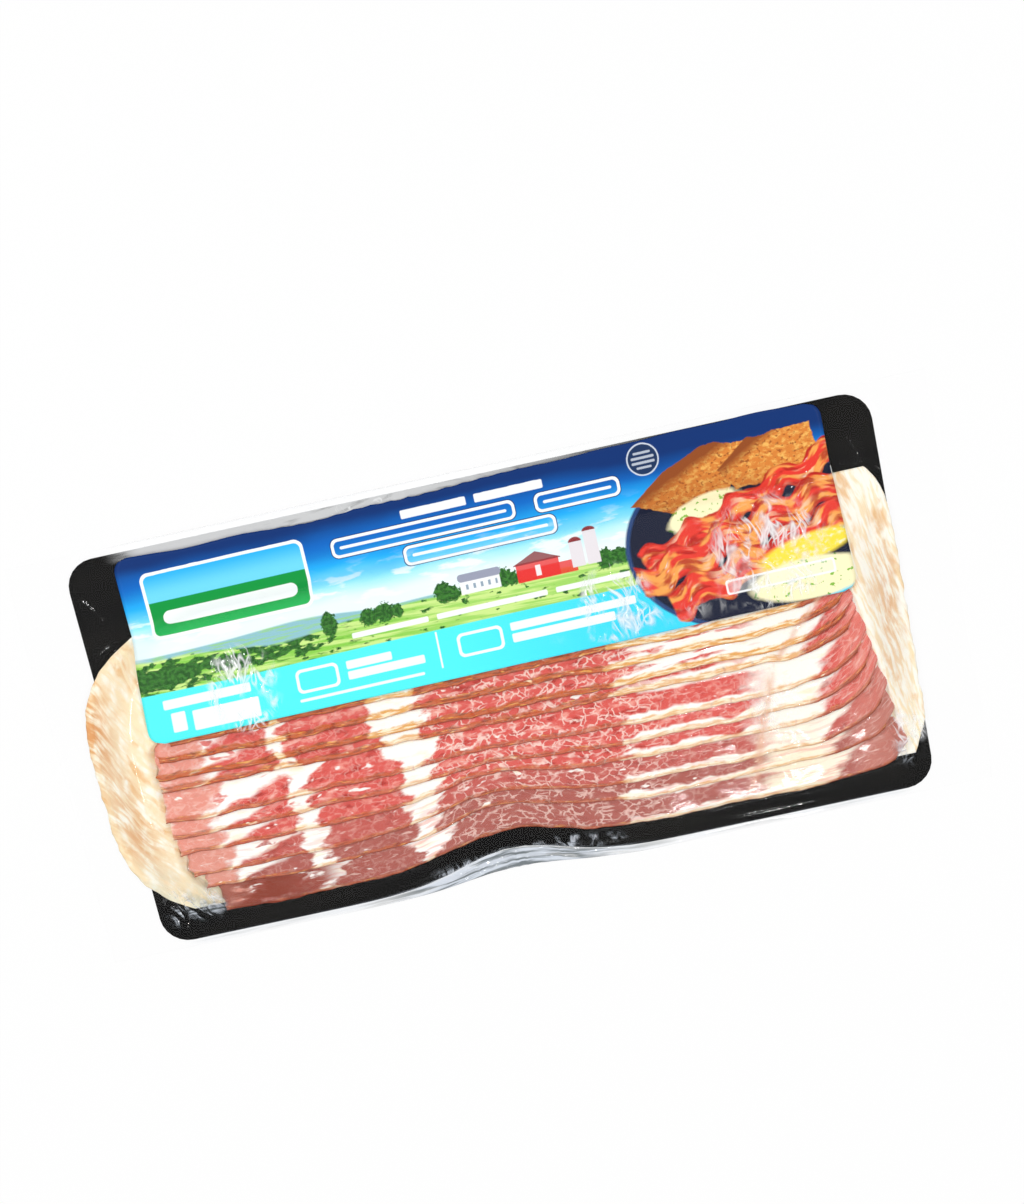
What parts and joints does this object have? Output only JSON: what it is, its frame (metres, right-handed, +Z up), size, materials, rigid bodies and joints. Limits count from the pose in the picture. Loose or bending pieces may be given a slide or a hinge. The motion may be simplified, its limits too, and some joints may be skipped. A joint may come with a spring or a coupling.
{
  "type": "vacuum pack of sliced bacon",
  "caption": "Flat clear vacuum pack of shingled bacon slices on a black backing board, with a wide printed label along its rear half.",
  "frame": {"origin": "middle of the pack's footprint, on the surface that it lies on", "axes": "+X along the slices, +Y across the pack towards the labelled long edge, +Z up, out of the shown side"},
  "size_m": [0.32, 0.147, 0.0173],
  "materials": {
    "board": "black card under gloss film",
    "bacon_in_film": "marbled pink bacon under clear gloss film",
    "label": "coated paper with printed fields of colour"
  },
  "bodies": {
    "root": {"board": "board", "pouch": "bacon_in_film", "label": "label"}
  },
  "joints": []
}
